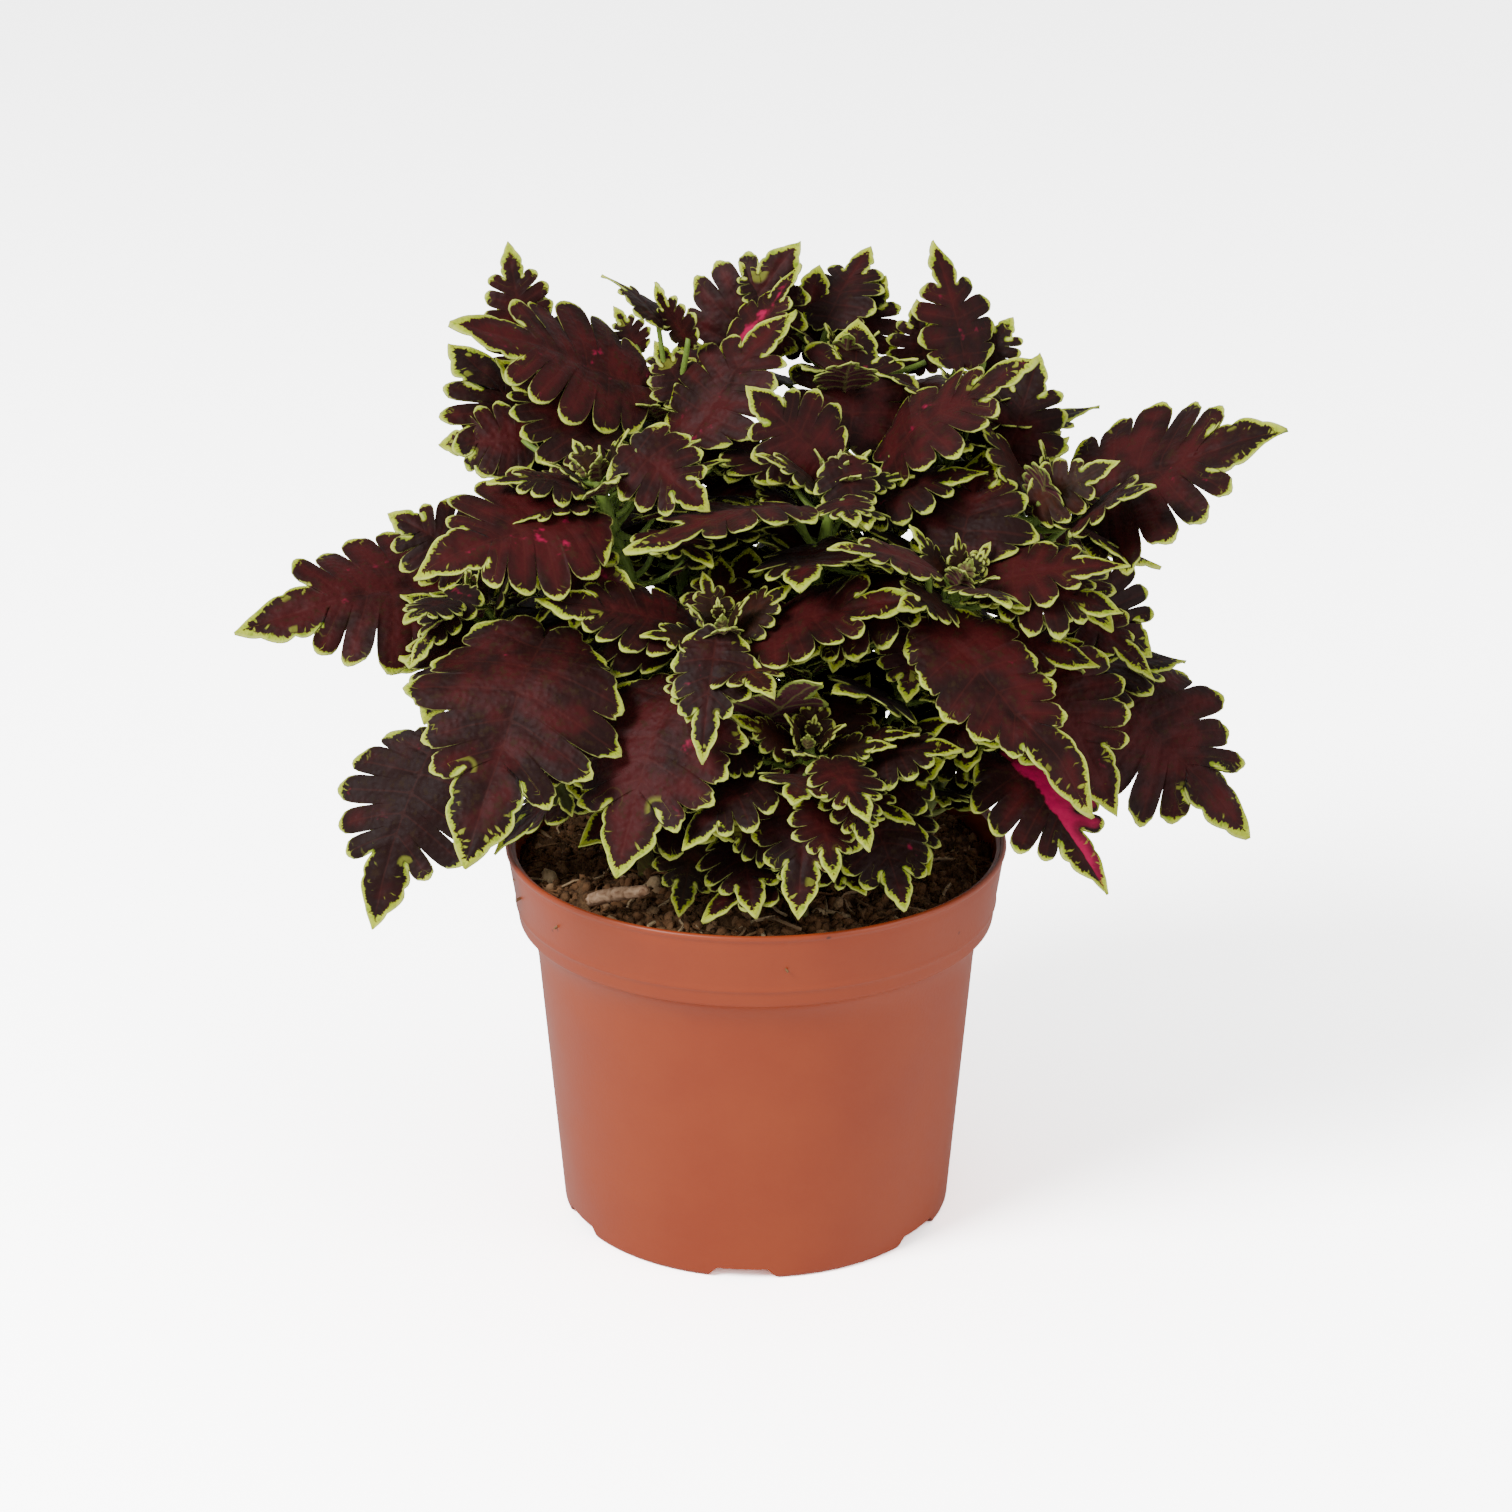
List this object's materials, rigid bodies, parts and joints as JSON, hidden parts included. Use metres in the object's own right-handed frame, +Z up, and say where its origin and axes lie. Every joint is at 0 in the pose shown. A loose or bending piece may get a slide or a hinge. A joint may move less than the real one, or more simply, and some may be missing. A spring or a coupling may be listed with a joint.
{
  "type": "potted coleus",
  "caption": "Bushy coleus with maroon, green-edged lobed leaves on square stems, growing in a round terracotta-coloured plastic nursery pot.",
  "frame": {"origin": "middle of the pot's foot, on the surface that the pot stands on", "axes": "+Z up along the pot's axis; -Y towards the plant's fuller front; +X to the right seen from the front"},
  "size_m": [0.2424, 0.1438, 0.2302],
  "materials": {
    "terracotta_plastic": "satin moulded polypropylene",
    "potting_mix": "damp peat and bark crumbs",
    "old_wood": "dry, rough",
    "green_stem": "smooth, fine hairs",
    "leaf_maroon": "velvety with chartreuse margins"
  },
  "bodies": {
    "root": {"leaf_a_left": "leaf_maroon", "leaf_a_side": "leaf_maroon", "leaf_a_up": "leaf_maroon", "leaf_b_front": "leaf_maroon", "leaf_c_left": "leaf_maroon", "leaf_c_right": "leaf_maroon", "leaf_c_up": "leaf_maroon", "leaf_d_up": "leaf_maroon", "leaf_e_down": "leaf_maroon", "leaf_e_left": "leaf_maroon", "leaf_e_right": "leaf_maroon", "leaf_e_up": "leaf_maroon", "leaf_f_down": "leaf_maroon", "leaf_f_right": "leaf_maroon", "leaf_front_left_big": "leaf_maroon", "leaf_front_mid": "leaf_maroon", "leaf_front_right_big": "leaf_maroon", "leaf_g_low": "leaf_maroon", "leaf_h_right": "leaf_maroon", "leaf_i_front": "leaf_maroon", "leaf_j_front": "leaf_maroon", "leaf_k_far": "leaf_maroon", "leaf_k_low": "leaf_maroon", "leaf_k_mid": "leaf_maroon", "leaf_k_side": "leaf_maroon", "leaf_left_long": "leaf_maroon", "leaf_left_low": "leaf_maroon", "leaf_low_right": "leaf_maroon", "leaf_m_left": "leaf_maroon", "leaf_m_low": "leaf_maroon", "leaf_m_right": "leaf_maroon", "leaf_n_back": "leaf_maroon", "leaf_n_left": "leaf_maroon", "leaf_n_low": "leaf_maroon", "leaf_p_back": "leaf_maroon", "leaf_p_low": "leaf_maroon", "leaf_p_right": "leaf_maroon", "leaf_right_long": "leaf_maroon", "leaf_top_back": "leaf_maroon", "leaf_top_mid": "leaf_maroon", "leaf_top_right": "leaf_maroon", "leaf_upper_back_left": "leaf_maroon", "leaf_upper_left": "leaf_maroon", "old_stem_stub": "old_wood", "pot": "terracotta_plastic", "potting_mix": "potting_mix", "stem_a": "green_stem", "stem_b": "green_stem", "stem_c": "green_stem", "stem_d": "green_stem", "stem_e": "green_stem", "stem_f": "green_stem", "stem_g": "green_stem", "stem_h": "green_stem", "stem_i": "green_stem", "stem_j": "green_stem", "stem_k": "green_stem", "stem_m": "green_stem", "stem_n": "green_stem", "stem_p": "green_stem"}
  },
  "joints": []
}
